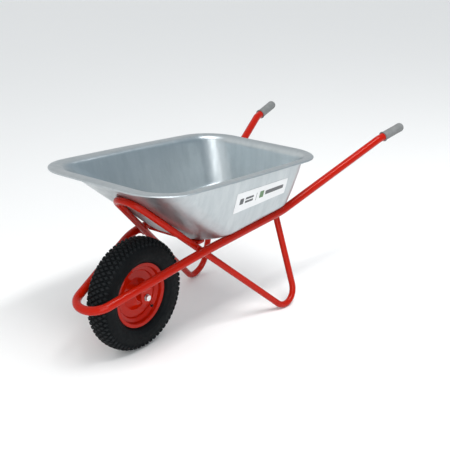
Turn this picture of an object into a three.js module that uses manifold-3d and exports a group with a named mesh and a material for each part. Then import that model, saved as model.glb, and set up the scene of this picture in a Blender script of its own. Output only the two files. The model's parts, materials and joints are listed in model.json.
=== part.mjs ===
// Garden wheelbarrow: one pneumatic wheel in a bent-tube frame that carries a pressed steel tray.
// Millimetres, +Z up, handles toward +Y, wheel toward -Y. The origin is on the ground, under the
// middle of the whole barrow. Design points are written as (x, y behind the axle, z above ground).
import * as THREE from 'three';
import { mergeVertices } from 'three/addons/utils/BufferGeometryUtils.js';
import Module from 'manifold-3d';

const wasm = await Module();
wasm.setup();

// ---- driving dimensions -------------------------------------------------------------------------
const AXLE_Y = -488.4;             // axle, ahead of the middle of the barrow
const WHEEL_RADIUS = 200;         // 4.00-8 tyre, which is also the axle height
const GAP = 0.3;                  // clearance kept between touching pieces

const FRAME_TUBE = 15;            // outer radius of the main tube
const FRAME_WALL = 1.6;
const LEG_TUBE = 12;              // outer radius of the leg and hoop tube
const LEG_WALL = 1.5;
const BEND_STEP = 18;             // degrees turned between two rings of a bend

const HANDLE_END = [320, 1217, 573.5];
const GRIP_BEND = [300, 1080, 548.7];
const REAR_BEND = [170, 616, 356.3];
const FRONT_BEND = [164, 158, 336];
const NOSE = [57, -236, 230];
const MAIN_RADII = [63, 130, 320, 70];      // bend radii at the four corners above, in order

const LEG_TOP = [144, 609, 352];
const FOOT = [254.7, 628.4, -70.2];
const HOOP = [50, -30, 542.5];
const LEG_RADII = [58, 60];                 // at the foot and at the hoop

const GRIP_RADIUS = 18;
const GRIP_LENGTH = 116;

const SHEET = 1.2;                          // tray steel
const RIM_FRONT_Z = 640;                    // height of the flange, front and rear
const RIM_REAR_Z = 565;
const LIP_DROP = 5;
// Rounded outlines seen from above: where wall meets flange, and where wall meets floor.
const FLANGE = { front: -162, rear: 741, halfFront: 303, halfRear: 287, rFront: 145, rRear: 140 };
const WALL_TOP = { front: -113, rear: 708, halfFront: 259, halfRear: 245, rFront: 96, rRear: 88 };
const WALL_FOOT = { front: 195, rear: 684, halfFront: 187, halfRear: 190, rFront: 145, rRear: 105 };
const CORNER_STEPS = 6;
const SIDE_START = CORNER_STEPS + 1;        // where the straight left side of an outline starts
const SIDE_RUNS = 3;
const FLANGE_BEND = 24;
const FLOOR_BEND = 40;
const FLOOR_MARGIN = 60;                    // from the foot of the wall to the flat floor
const DECK_RISE = (REAR_BEND[2] - FRONT_BEND[2]) / (REAR_BEND[1] - FRONT_BEND[1]);

const TYRE_SEGMENTS = 32;
const RIM_FLANGE = 115;                     // radius over the rim flange
const HUB_HALF = 46;
const HUB_RADIUS = 20;
const BEARING_RADIUS = 17.5;
const AXLE_RADIUS = 6;
const BRACKET_X = 52;                       // inner face of each axle bracket
const BRACKET_PLATE = 4;

// ---- materials ----------------------------------------------------------------------------------
const finish = (color, roughness, metalness) =>
  new THREE.MeshStandardMaterial({ color, roughness, metalness });
const RED_COAT = finish(0xc8220f, 0.3, 0.0);
const GALVANISED = finish(0xaab4b8, 0.42, 0.9);
const ZINC = finish(0xc9ccce, 0.3, 0.95);
const BARE_STEEL = finish(0x8d9196, 0.35, 1.0);
const RUBBER = finish(0x1b1c1c, 0.8, 0.0);
const TUBE_RUBBER = finish(0x2a2a2a, 0.7, 0.0);
const GREY_GRIP = finish(0x969899, 0.6, 0.0);
const LABEL = finish(0xe9e9e7, 0.5, 0.0);

// ---- helpers ------------------------------------------------------------------------------------
const part = new THREE.Group();
const wheel = new THREE.Group();
wheel.position.set(0, AXLE_Y, WHEEL_RADIUS);
part.add(wheel);

const at = ([x, y, z]) => new THREE.Vector3(x, y + AXLE_Y, z);
const mirrorPoint = (p) => new THREE.Vector3(-p.x, p.y, p.z);
const range = (n) => Array.from({ length: n }, (_, i) => i);

function place(name, geometry, material, parent = part) {
  const mesh = new THREE.Mesh(geometry, material);
  mesh.name = name;
  parent.add(mesh);
  return mesh;
}

function solid(geometry) {
  const bare = geometry.clone();
  bare.deleteAttribute('normal');
  bare.deleteAttribute('uv');
  const merged = mergeVertices(bare, 1e-4);
  return new wasm.Manifold(new wasm.Mesh({
    numProp: 3,
    vertProperties: new Float32Array(merged.attributes.position.array),
    triVerts: new Uint32Array(merged.index.array),
  }));
}

function surface(body) {
  const mesh = body.getMesh();
  const geometry = new THREE.BufferGeometry();
  geometry.setAttribute('position', new THREE.BufferAttribute(mesh.vertProperties, 3));
  geometry.setIndex(new THREE.BufferAttribute(mesh.triVerts, 1));
  return geometry;
}

// Mirror image in the middle plane, with its triangles turned back to face outward.
function mirrored(geometry) {
  const copy = (geometry.index ? geometry.toNonIndexed() : geometry.clone()).scale(-1, 1, 1);
  const p = copy.attributes.position.array;
  for (let i = 0; i < p.length; i += 9) {
    for (const k of [0, 1, 2]) [p[i + 3 + k], p[i + 6 + k]] = [p[i + 6 + k], p[i + 3 + k]];
  }
  return copy;
}

// Corners joined by circular bends. Returns the ring stations with their directions.
function bentPath(corners, radii, fixedSteps = 0) {
  const stations = [];
  const push = (point, tangent) => stations.push({ point, tangent: tangent.clone().normalize() });
  push(corners[0], corners[1].clone().sub(corners[0]));
  for (let i = 1; i < corners.length - 1; i++) {
    const before = corners[i - 1].clone().sub(corners[i]).normalize();
    const after = corners[i + 1].clone().sub(corners[i]).normalize();
    const half = Math.acos(THREE.MathUtils.clamp(before.dot(after), -1, 1)) / 2;
    const turn = Math.PI - 2 * half;
    const bisector = before.clone().add(after).normalize();
    const centre = corners[i].clone().addScaledVector(bisector, radii[i - 1] / Math.sin(half));
    const run = radii[i - 1] / Math.tan(half);
    const start = corners[i].clone().addScaledVector(before, run).sub(centre);
    const direction = before.clone().negate();
    const steps = fixedSteps || Math.max(2, Math.ceil(THREE.MathUtils.radToDeg(turn) / BEND_STEP));
    const axis = start.clone().cross(direction).normalize();
    for (const k of range(steps + 1)) {
      const angle = turn * k / steps;
      push(centre.clone().add(start.clone().applyAxisAngle(axis, angle)),
        direction.clone().applyAxisAngle(axis, angle));
    }
  }
  const last = corners.length - 1;
  push(corners[last], corners[last].clone().sub(corners[last - 1]));
  return stations;
}

// A curve whose parameter counts the stations, so that a sweep puts one ring on each of them.
class StationCurve extends THREE.Curve {
  constructor(stations) {
    super();
    this.stations = stations;
  }
  getUtoTmapping(u) { return u; }
  getPoint(t, target = new THREE.Vector3()) {
    return target.copy(this.stations[Math.round(t * (this.stations.length - 1))].point);
  }
  getTangentAt(u, target = new THREE.Vector3()) {
    return target.copy(this.stations[Math.round(u * (this.stations.length - 1))].tangent);
  }
}

const circle = (radius, sides) => range(sides).map((i) => {
  const a = 2 * Math.PI * (i + 0.5) / sides;
  return new THREE.Vector2(radius * Math.cos(a), radius * Math.sin(a));
});

function sweep(stations, radius, bore, sides) {
  const section = new THREE.Shape(circle(radius, sides));
  if (bore) section.holes.push(new THREE.Path(circle(bore, sides)));
  return new THREE.ExtrudeGeometry(section, {
    steps: stations.length - 1, extrudePath: new StationCurve(stations),
  });
}

// Turned about the X axis: the profile's points are (x along the axis, radius), in a closed loop.
function turned(profile, segments) {
  const loop = [...profile, profile[0]].map(([x, r]) => new THREE.Vector2(r, x));
  const geometry = new THREE.LatheGeometry(loop, segments);
  geometry.rotateZ(-Math.PI / 2);
  return outward(geometry);
}

// Turns every triangle over if the closed surface was wound inside out.
function outward(geometry) {
  const flat = geometry.index ? geometry.toNonIndexed() : geometry;
  const p = flat.attributes.position.array;
  const a = new THREE.Vector3(), b = new THREE.Vector3(), c = new THREE.Vector3();
  let volume = 0;
  for (let i = 0; i < p.length; i += 9) {
    volume += a.fromArray(p, i).dot(b.fromArray(p, i + 3).cross(c.fromArray(p, i + 6)));
  }
  return volume < 0 ? mirrored(flat).scale(-1, 1, 1) : flat;
}

const sleeve = (x0, x1, outer, inner, segments = 20) =>
  turned([[x0, inner], [x1, inner], [x1, outer], [x0, outer]], segments);

// A thin turned sheet that follows a line of points, thickened to one side.
function pressed(line, thickness, segments) {
  const side = line.map((p, i) => {
    const a = new THREE.Vector2(...line[Math.max(i - 1, 0)]);
    const b = new THREE.Vector2(...line[Math.min(i + 1, line.length - 1)]);
    const n = b.sub(a).normalize();
    return [p[0] - n.y * thickness, p[1] + n.x * thickness];
  });
  return turned([...line, ...side.reverse()], segments);
}

// Upright bar with its axis on Z, from z = low to z = high.
function bar(radius, low, high, sides) {
  const geometry = new THREE.CylinderGeometry(radius, radius, high - low, sides);
  geometry.rotateX(Math.PI / 2);
  return geometry.translate(0, 0, (low + high) / 2);
}

const HEX = (acrossFlats) => acrossFlats / Math.sqrt(3);

// ---- main frame tube and grips ------------------------------------------------------------------
const mainCorners = [HANDLE_END, GRIP_BEND, REAR_BEND, FRONT_BEND, NOSE].map(at);
const mainPath = bentPath(
  [...mainCorners, ...mainCorners.map(mirrorPoint).reverse()],
  [...MAIN_RADII, ...[...MAIN_RADII].reverse()],
);
place('main_frame_tube', sweep(mainPath, FRAME_TUBE, FRAME_TUBE - FRAME_WALL, 12), RED_COAT);

const legCorners = [LEG_TOP, FOOT, HOOP].map(at);
const legPath = bentPath(
  [...legCorners, ...legCorners.map(mirrorPoint).reverse()],
  [...LEG_RADII, ...[...LEG_RADII].reverse()],
);

// Solid rods a little fatter than the tubes, used to cut the pieces that are welded to them.
const mainEnvelope = solid(sweep(mainPath, FRAME_TUBE + GAP + 0.2, 0, 16));
const legEnvelope = solid(sweep(legPath, LEG_TUBE + GAP + 0.2, 0, 16));

// Grip: a plastic sleeve closed by a domed end, with the tube's end inside it.
function gripGeometry() {
  const inner = FRAME_TUBE + GAP;
  const r = GRIP_RADIUS;
  const profile = [
    [0, inner], [0, r - 1.2], [1.2, r], [GRIP_LENGTH - 9, r], [GRIP_LENGTH - 4, r - 2],
    [GRIP_LENGTH - 1, r - 6], [GRIP_LENGTH, 0], [GRIP_LENGTH - 5, 0], [GRIP_LENGTH - 5, inner],
  ];
  const loop = profile.map(([x, radius]) => new THREE.Vector2(radius, x));
  loop.push(loop[0].clone());
  return outward(new THREE.LatheGeometry(loop, 24));
}

for (const [name, flip] of [['grip_left', false], ['grip_right', true]]) {
  const end = at(HANDLE_END);
  const along = end.clone().sub(at(GRIP_BEND)).normalize();
  if (flip) {
    end.x *= -1;
    along.x *= -1;
  }
  const mesh = place(name, gripGeometry(), GREY_GRIP);
  mesh.quaternion.setFromUnitVectors(new THREE.Vector3(0, 1, 0), along);
  mesh.position.copy(end).addScaledVector(along, 5 + GAP - GRIP_LENGTH);
}

// ---- axle brackets: plates bent outward from the axle to the main tube ----------------------------
function bracketGeometry() {
  const x = BRACKET_X, t = BRACKET_PLATE;
  const side = new THREE.Shape([
    [x, -26], [x + t, -26], [x + t, 26], [x + t + 56, 84], [x + 56, 88], [x, 29],
  ].map((p) => new THREE.Vector2(...p)));
  const plate = new THREE.ExtrudeGeometry(side, { depth: 56, bevelEnabled: false });
  plate.rotateX(Math.PI / 2).translate(0, 28, 0);
  const face = new THREE.Shape();
  face.moveTo(-26, 100);
  face.absarc(0, 0, 25, Math.PI, 2 * Math.PI, false);
  face.lineTo(26, 100);
  const outline = new THREE.ExtrudeGeometry(face, { depth: 160, bevelEnabled: false, curveSegments: 12 });
  outline.rotateX(Math.PI / 2).rotateZ(Math.PI / 2);
  const hole = bar(AXLE_RADIUS + GAP, 0, 100, 20).rotateY(Math.PI / 2);
  const rod = mainEnvelope.translate([0, -AXLE_Y, -WHEEL_RADIUS]);
  return surface(solid(plate).intersect(solid(outline)).subtract(solid(hole)).subtract(rod))
    .translate(0, AXLE_Y, WHEEL_RADIUS);
}

const bracket = bracketGeometry();
place('axle_bracket_left', bracket, RED_COAT);
place('axle_bracket_right', mirrored(bracket), RED_COAT);

const INSERT_RADIUS = 4.5;

// ---- leg and hoop tube, its stubs and the straps under the tray -----------------------------------
// The bolt stands square to the tray's front wall, whose middle is a little steeper than its ends.
const STEEPER = 0.036;
const hoopTilt = STEEPER - Math.atan2(RIM_FRONT_Z - FRONT_BEND[2], WALL_FOOT.front - WALL_TOP.front);
const hoopPin = (radius, low, high) => solid(bar(radius, low, high, 16)
  .rotateX(hoopTilt).translate(...at([0, HOOP[1], HOOP[2]]).toArray()));

place('leg_hoop_tube', surface(
  solid(sweep(legPath, LEG_TUBE, LEG_TUBE - LEG_WALL, 12)).subtract(hoopPin(INSERT_RADIUS + GAP, 0, 30)),
), RED_COAT);

// Short stub between each strut and the main tube, where they pass each other.
function stubGeometry() {
  const stub = bar(8, 121, 162, 16).rotateY(Math.PI / 2).translate(...at([0, 188, 336]).toArray());
  return surface(solid(stub).subtract(mainEnvelope).subtract(legEnvelope));
}

const stub = stubGeometry();
place('strut_stub_left', stub, RED_COAT);
place('strut_stub_right', mirrored(stub), RED_COAT);

// Everything under the tray floor is laid out on the floor's own slope. The deck's origin is the
// underside of the floor at the front bend of the frame tube.
const deck = new THREE.Group();
deck.position.copy(at([0, FRONT_BEND[1], FRONT_BEND[2] + FRAME_TUBE + 2 * GAP]));
deck.rotation.x = Math.atan(DECK_RISE);
part.add(deck);
deck.updateMatrixWorld(true);

const FRONT_STRAP = { y: 59, half: 118, width: 34, thickness: 8 };
const REAR_STRAP = { y: 385, half: 150, width: 30, thickness: 4 };
const BOLT_X = 64;
const boltSpots = [[FRONT_STRAP, 5], [REAR_STRAP, 0]].flatMap(([strap, back]) =>
  [BOLT_X, -BOLT_X].map((x) => ({ x, y: strap.y + back, under: -GAP - strap.thickness })));
const deckSolid = (geometry) => solid(geometry.clone().applyMatrix4(deck.matrixWorld));
const boltHoles = boltSpots.map(({ x, y }) => deckSolid(bar(3.6, -20, 20, 14).translate(x, y, 0)));

function strapGeometry({ y, half, width, thickness }) {
  const strap = new THREE.BoxGeometry(2 * half, width, thickness);
  strap.translate(0, y, -GAP - thickness / 2);
  let body = deckSolid(strap).subtract(mainEnvelope).subtract(legEnvelope);
  for (const hole of boltHoles) body = body.subtract(hole);
  return surface(body);
}

place('front_cross_strap', strapGeometry(FRONT_STRAP), RED_COAT);
place('rear_cross_strap', strapGeometry(REAR_STRAP), RED_COAT);

// ---- tray -----------------------------------------------------------------------------------------
// A four-sided outline with round corners, walked from the middle of the front edge to the left.
function outline({ front, rear, halfFront, halfRear, rFront, rRear }) {
  const corners = [
    [0, front], [halfFront, front], [halfRear, rear], [0, rear],
  ].map(([x, y]) => at([x, y, 0]));
  const half = bentPath(corners, [rFront, rRear], CORNER_STEPS).map((s) => s.point);
  const points = [];
  half.forEach((p, i) => {
    if (i === half.length - 1) return points.push(p);
    const runs = i === SIDE_START ? SIDE_RUNS : 1;
    for (const k of range(runs)) points.push(p.clone().lerp(half[i + 1], k / runs));
  });
  const other = points.slice(1, -1).map(mirrorPoint).reverse();
  return [...points, ...other];
}

const flangeHeight = (y) => THREE.MathUtils.mapLinear(
  y, FLANGE.front + AXLE_Y, FLANGE.rear + AXLE_Y, RIM_FRONT_Z, RIM_REAR_Z);
const floorHeight = (y) => deck.position.z + DECK_RISE * (y - deck.position.y);
const lifted = (points, height) => points.map((p) => new THREE.Vector3(p.x, p.y, height(p.y)));

const rimLine = lifted(outline(FLANGE), flangeHeight);
const wallTopLine = lifted(outline(WALL_TOP), flangeHeight);
const wallFootLine = lifted(outline(WALL_FOOT), floorHeight);

// One section of the sheet, from the turned-down lip over the flange and down the wall to the floor.
function traySection(i) {
  const rim = rimLine[i], top = wallTopLine[i], foot = wallFootLine[i];
  const lip = rim.clone().setZ(rim.z - LIP_DROP);
  const count = wallFootLine.length;
  const around = wallFootLine[(i + 1) % count].clone().sub(wallFootLine[(i + count - 1) % count]);
  const inward = new THREE.Vector3(-around.y, around.x, 0).normalize();
  const floor = foot.clone().addScaledVector(inward, FLOOR_MARGIN);
  floor.z = floorHeight(floor.y);
  return bentPath([lip, rim, top, foot, floor], [2.5, FLANGE_BEND, FLOOR_BEND], 3).map((s) => s.point);
}

function trayGeometry() {
  const lower = rimLine.map((_, i) => traySection(i));
  const count = lower.length, steps = lower[0].length;
  const upper = lower.map((section, i) => section.map((p, j) => {
    const around = lower[(i + 1) % count][j].clone().sub(lower[(i + count - 1) % count][j]);
    const inward = section[Math.min(j + 1, steps - 1)].clone().sub(section[Math.max(j - 1, 0)]);
    return p.clone().addScaledVector(around.cross(inward).normalize(), SHEET);
  }));
  const triangles = [];
  const quad = (a, b, c, d) => triangles.push(a, b, c, a, c, d);
  const middle = (grid) => grid.reduce((sum, s) => sum.add(s[steps - 1]), new THREE.Vector3())
    .multiplyScalar(1 / count);
  const low = middle(lower), high = middle(upper);
  for (const i of range(count)) {
    const k = (i + 1) % count;
    for (const j of range(steps - 1)) {
      quad(upper[i][j], upper[k][j], upper[k][j + 1], upper[i][j + 1]);
      quad(lower[i][j], lower[i][j + 1], lower[k][j + 1], lower[k][j]);
    }
    quad(lower[i][0], lower[k][0], upper[k][0], upper[i][0]);
    triangles.push(upper[i][steps - 1], upper[k][steps - 1], high);
    triangles.push(lower[k][steps - 1], lower[i][steps - 1], low);
  }
  return outward(new THREE.BufferGeometry().setFromPoints(triangles));
}

let trayBody = solid(trayGeometry()).subtract(hoopPin(3.3, 0, 30));
for (const hole of boltHoles) trayBody = trayBody.subtract(hole);
place('tray', surface(trayBody), GALVANISED);

// Plain white panel on the left wall of the tray, bent to the wall. Low and high are shares of the
// wall's height.
const LABEL_PANEL = { front: 268, rear: 566, low: 0.33, high: 0.7, lift: 0.8, thickness: 0.5 };

function labelGeometry() {
  const { front, rear, low, high, lift, thickness } = LABEL_PANEL;
  const wallAt = (station, up) => wallFootLine[station].clone().lerp(wallTopLine[station], up);
  const onWall = (y, up) => {
    const start = wallAt(SIDE_START, up);
    const end = wallAt(SIDE_START + SIDE_RUNS, up);
    return start.clone().lerp(end, (y + AXLE_Y - start.y) / (end.y - start.y));
  };
  const outwards = onWall(rear, low).sub(onWall(front, low))
    .cross(onWall(front, high).sub(onWall(front, low))).normalize();
  const grid = (depth) => range(5).map((i) => range(3).map((j) => onWall(
    THREE.MathUtils.lerp(front, rear, i / 4), THREE.MathUtils.lerp(low, high, j / 2),
  ).addScaledVector(outwards, depth)));
  const near = grid(lift), far = grid(lift + thickness);
  const triangles = [];
  const quad = (a, b, c, d) => triangles.push(a, b, c, a, c, d);
  for (const i of range(4)) {
    for (const j of range(2)) {
      quad(far[i][j], far[i + 1][j], far[i + 1][j + 1], far[i][j + 1]);
      quad(near[i][j], near[i][j + 1], near[i + 1][j + 1], near[i + 1][j]);
    }
    quad(near[i][0], near[i + 1][0], far[i + 1][0], far[i][0]);
    quad(near[i + 1][2], near[i][2], far[i][2], far[i + 1][2]);
  }
  for (const j of range(2)) {
    quad(near[0][j + 1], near[0][j], far[0][j], far[0][j + 1]);
    quad(near[4][j], near[4][j + 1], far[4][j + 1], far[4][j]);
  }
  return outward(new THREE.BufferGeometry().setFromPoints(triangles));
}

place('side_label', labelGeometry(), LABEL);

// ---- tray bolts, washers and nuts -----------------------------------------------------------------
// A round-headed bolt along Z whose shank hangs below z = 0, where its head bears.
function roundBolt(shankRadius, headRadius, headHeight, length) {
  const profile = [
    [-length, 0], [-length, shankRadius - 0.5], [-length + 0.7, shankRadius], [0, shankRadius],
    [0, headRadius], [headHeight * 0.45, headRadius * 0.86], [headHeight * 0.85, headRadius * 0.5],
    [headHeight, 0],
  ];
  const loop = profile.map(([z, r]) => new THREE.Vector2(r, z));
  const geometry = new THREE.LatheGeometry(loop, 12).rotateX(Math.PI / 2);
  return outward(geometry);
}

function hexNut(acrossFlats, height, bore) {
  const nut = solid(bar(HEX(acrossFlats), 0, height, 6));
  return surface(nut.subtract(solid(bar(bore, -1, height + 1, 14))));
}

const washer = (outer, bore, height) => surface(
  solid(bar(outer, 0, height, 20)).subtract(solid(bar(bore, -1, height + 1, 14))));

const NUT_HEIGHT = 5;
const WASHER_HEIGHT = 1.2;
boltSpots.forEach(({ x, y, under }, i) => {
  const spot = new THREE.Group();
  spot.position.set(x, y, 0);
  deck.add(spot);
  const low = under - GAP - WASHER_HEIGHT;
  place('tray_bolt_' + (i + 1), roundBolt(3, 8, 3.4, 12 - under), ZINC, spot)
    .position.z = SHEET + GAP;
  place('tray_washer_' + (i + 1), washer(8, 3.3, WASHER_HEIGHT), ZINC, spot).position.z = low;
  place('tray_nut_' + (i + 1), hexNut(10, NUT_HEIGHT, 3.3), ZINC, spot)
    .position.z = low - GAP - NUT_HEIGHT;
});

// One bolt through the tray's sloping front wall, screwed into a threaded insert in the hoop tube.
const HOOP_HEAD_SEAT = 14.2;
const hoopBoltSpot = new THREE.Group();
hoopBoltSpot.position.copy(at([0, HOOP[1], HOOP[2]]));
hoopBoltSpot.rotation.x = hoopTilt;
part.add(hoopBoltSpot);
place('hoop_bolt', roundBolt(3, 8, 3.4, 18), ZINC, hoopBoltSpot).position.z = HOOP_HEAD_SEAT;
place('hoop_insert', surface(
  solid(bar(INSERT_RADIUS, 2, LEG_TUBE, 14)).subtract(solid(bar(3.3, 1, LEG_TUBE + 1, 14))),
), ZINC, hoopBoltSpot);

// ---- wheel: tyre, inner tube, rim, hub and bearings --------------------------------------------------
const symmetric = (half) => [...half, ...half.map(([x, r]) => [-x, r]).reverse()];

const tyreOutside = [
  [0, 200], [18, 199], [31, 195], [42, 183], [48, 165], [48, 148], [40, 122], [31, 117.3], [27.3, 115.4],
  [25.7, 103.6],
];
const tyreInside = [
  [17, 103.6], [20, 112], [33, 125], [41, 148], [39, 170], [27, 186.5], [0, 191],
];
const aroundTyre = [...tyreOutside, ...tyreInside];
place('tyre', turned([
  ...aroundTyre, ...aroundTyre.slice(1, -1).map(([x, r]) => [-x, r]).reverse(),
], TYRE_SEGMENTS), RUBBER, wheel);

// The valve leans out of the rim well on the left: its frame has +Y along the stem.
const valveFrame = new THREE.Matrix4().makeRotationX(THREE.MathUtils.degToRad(-48))
  .multiply(new THREE.Matrix4().makeTranslation(9.8, 93, 0))
  .multiply(new THREE.Matrix4().makeRotationZ(THREE.MathUtils.degToRad(-127)));
const valveBore = (radius, low, high) => solid(new THREE.CylinderGeometry(radius, radius, high - low, 12)
  .translate(0, (low + high) / 2, 0).applyMatrix4(valveFrame));

const aroundTube = (inset) => {
  const half = [[0, 189], [24, 184.5], [37, 168], [39, 148], [31, 126], [14, 109], [8, 90], [0, 88.5]];
  const centre = 146;
  const ring = [...half, ...half.slice(1, -1).map(([x, r]) => [-x, r]).reverse()];
  return ring.map(([x, r]) => {
    const length = Math.hypot(x, r - centre);
    return [x * (1 - inset / length), centre + (r - centre) * (1 - inset / length)];
  });
};
const tubeShell = solid(turned(aroundTube(0), 24)).subtract(solid(turned(aroundTube(2.2), 24)));
place('inner_tube', surface(tubeShell.subtract(valveBore(3.4, -12, 3))), TUBE_RUBBER, wheel);

// Each half of the rim: flange, bead seat, drop centre, then a dished disc down to the hub.
const rimHalf = [
  [28, RIM_FLANGE], [28, 104.5], [26, 102.8], [13.5, 101], [10, 86.5], [2.2, 86],
  [2.2, 56], [19, 34], [24, HUB_RADIUS + GAP],
];
const rim = pressed(rimHalf, 1.6, TYRE_SEGMENTS);
place('rim_half_left', surface(solid(rim).subtract(valveBore(3.6, 0, 9))), RED_COAT, wheel);
place('rim_half_right', mirrored(rim), RED_COAT, wheel);

place('hub_tube', sleeve(-HUB_HALF, HUB_HALF, HUB_RADIUS, BEARING_RADIUS + GAP, 32), RED_COAT, wheel);

const bearing = { inner: 34, outer: 45, race: 14.8, innerRing: 10.4, bore: AXLE_RADIUS + GAP };
const middle = (bearing.inner + bearing.outer) / 2;
const BALLS = 6;
const BALL_RADIUS = 1.7;

// Balls held in a thin cage, as one piece.
function ballCageGeometry() {
  const pitch = (bearing.race + bearing.innerRing) / 2;
  let cage = solid(sleeve(middle - 3, middle + 3, pitch + 0.5, pitch - 0.5, 16));
  for (const i of range(BALLS)) {
    const angle = 2 * Math.PI * i / BALLS;
    const ball = new THREE.SphereGeometry(BALL_RADIUS, 5, 4)
      .translate(middle, pitch * Math.cos(angle), pitch * Math.sin(angle));
    cage = cage.add(solid(ball));
  }
  return surface(cage);
}

const frontPieces = {
  bearing_outer_ring: [sleeve(bearing.inner, bearing.outer, BEARING_RADIUS, bearing.race, 32), wheel],
  bearing_ball_cage: [ballCageGeometry(), wheel],
};
for (const [name, [geometry, parent]] of Object.entries(frontPieces)) {
  place(name + '_left', geometry, BARE_STEEL, parent);
  place(name + '_right', mirrored(geometry), BARE_STEEL, parent);
}

// Valve: a stem with a screwed plastic cap.
const valve = new THREE.Group();
valve.applyMatrix4(valveFrame);
wheel.add(valve);
const around = (points) => outward(new THREE.LatheGeometry(
  [...points, points[0]].map((p) => new THREE.Vector2(...p)), 12));
place('valve_stem', around([[0, 0], [3, 0], [3, 20], [2.2, 22], [0, 22]]), BARE_STEEL, valve);
place('valve_cap', around([[3.4, 14], [4.3, 14], [4.3, 24], [3.4, 25], [0, 25], [0, 22.4], [3.4, 22.4]]),
  TUBE_RUBBER, valve);

// ---- axle -------------------------------------------------------------------------------------------
const axle = new THREE.Group();
axle.position.copy(wheel.position);
part.add(axle);

const bracketOut = BRACKET_X + BRACKET_PLATE;
const HEAD_HEIGHT = 7.5;
const HEAD_ACROSS = 19;
const AXLE_WASHER = 2;
const axleEnd = bracketOut + 2 * GAP + AXLE_WASHER;

function axleBoltGeometry() {
  const head = bar(HEX(HEAD_ACROSS), axleEnd, axleEnd + HEAD_HEIGHT, 6);
  const shank = bar(AXLE_RADIUS, -axleEnd - 15, axleEnd + 1, 20);
  return surface(solid(head).add(solid(shank))).rotateY(Math.PI / 2);
}

place('axle_bolt', axleBoltGeometry(), ZINC, axle);
place('axle_nut', hexNut(HEAD_ACROSS, 11, AXLE_RADIUS + GAP).rotateY(-Math.PI / 2).translate(-axleEnd, 0, 0),
  ZINC, axle);
place('axle_spacer_middle', sleeve(-bearing.inner + GAP, bearing.inner - GAP, bearing.innerRing,
  bearing.bore), BARE_STEEL, axle);
const axlePieces = {
  bearing_inner_ring: sleeve(bearing.inner, bearing.outer, bearing.innerRing, bearing.bore, 24),
  axle_spacer: sleeve(bearing.outer + GAP, BRACKET_X - GAP, 11, bearing.bore, 24),
  axle_washer: sleeve(bracketOut + GAP, bracketOut + GAP + AXLE_WASHER, 12, bearing.bore, 24),
};
for (const [name, geometry] of Object.entries(axlePieces)) {
  place(name + '_left', geometry, BARE_STEEL, axle);
  place(name + '_right', mirrored(geometry), BARE_STEEL, axle);
}

export default part;
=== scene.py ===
"""A garden wheelbarrow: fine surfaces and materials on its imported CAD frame.

Metres, +Z up, handles toward +Y, wheel toward -Y. Design points are written in millimetres as
(x, y behind the axle, z above the ground), as in the CAD source.
"""

import json
import math

import bmesh
import bpy
from mathutils import Matrix, Vector, noise


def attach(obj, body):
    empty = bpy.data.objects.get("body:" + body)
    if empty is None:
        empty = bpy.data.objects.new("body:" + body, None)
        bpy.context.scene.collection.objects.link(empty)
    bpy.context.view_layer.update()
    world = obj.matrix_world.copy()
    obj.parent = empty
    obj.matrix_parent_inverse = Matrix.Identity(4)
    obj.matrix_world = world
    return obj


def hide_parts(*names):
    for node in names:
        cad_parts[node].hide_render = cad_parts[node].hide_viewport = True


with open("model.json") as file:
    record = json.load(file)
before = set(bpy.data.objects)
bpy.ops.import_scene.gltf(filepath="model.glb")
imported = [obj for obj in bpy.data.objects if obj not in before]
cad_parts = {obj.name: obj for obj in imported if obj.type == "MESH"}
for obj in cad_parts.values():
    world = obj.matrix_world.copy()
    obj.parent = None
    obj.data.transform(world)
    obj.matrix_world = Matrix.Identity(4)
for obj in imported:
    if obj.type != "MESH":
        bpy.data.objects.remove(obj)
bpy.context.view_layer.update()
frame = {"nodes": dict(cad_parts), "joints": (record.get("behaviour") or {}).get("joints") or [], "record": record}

# ---- driving dimensions

MM = 0.001
SPIN = frame["joints"][0]
AXLE = Vector(SPIN["pos_m"])
UP = Vector((0, 0, 1))
SIDES = (("left", 1), ("right", -1))  # each side and the sign of its X
GAP = 0.3  # play between pieces that lie on each other
CORE = 0.01  # radius at which a turned profile closes on its axis

FRAME_TUBE = 15  # outer radius
FRAME_WALL = 1.6
LEG_TUBE = 12  # outer radius
LEG_WALL = 1.5
HANDLE_END = (320, 1217, 573.5)
GRIP_BEND = (300, 1080, 548.7)
REAR_BEND = (170, 616, 356.3)
FRONT_BEND = (164, 158, 336)
NOSE = (57, -236, 230)
MAIN_RADII = (63, 130, 320, 70)
LEG_TOP = (144, 609, 352)
FOOT = (254.7, 628.4, -70.2)
HOOP = (50, -30, 542.5)
LEG_RADII = (58, 60)
STEEPER = 0.036  # radians the front wall's middle is steeper than the line from its top to its foot
GRIP_LENGTH = 116
GRIP_RADIUS = 18
GRIP_PROUD = 5.3  # how far the grip reaches past the end of the tube
GRIP_TRIM = 0.9  # how much shorter the moulded grip is than its CAD node, to stay in the CAD box
GRIP_PLAY = 0.2

SHEET = 1.2
RIM_FRONT_Z = 640
RIM_REAR_Z = 565
FLANGE = dict(front=-162, rear=741, half_front=303, half_rear=287, r_front=145, r_rear=140)
WALL_TOP = dict(front=-113, rear=708, half_front=259, half_rear=245, r_front=96, r_rear=88)
WALL_FOOT = dict(front=195, rear=684, half_front=187, half_rear=190, r_front=145, r_rear=105)
SIDE_BULGE = 8  # the long sides of the rim bow outward in the middle
CURL = 1.7  # inner radius of the rolled edge
FLANGE_BEND = 24
FLOOR_BEND = 40
FLOOR_MARGIN = 60
CORNER_STEPS = 14
SIDE_RUNS = 20
END_RUNS = 8
DECK_RISE = (REAR_BEND[2] - FRONT_BEND[2]) / (REAR_BEND[1] - FRONT_BEND[1])
DECK_Z = FRONT_BEND[2] + FRAME_TUBE + 0.6
FRONT_STRAP = dict(y=59, half=118, width=34, thickness=8)
REAR_STRAP = dict(y=385, half=150, width=30, thickness=4)
BOLT_X = 64
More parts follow.
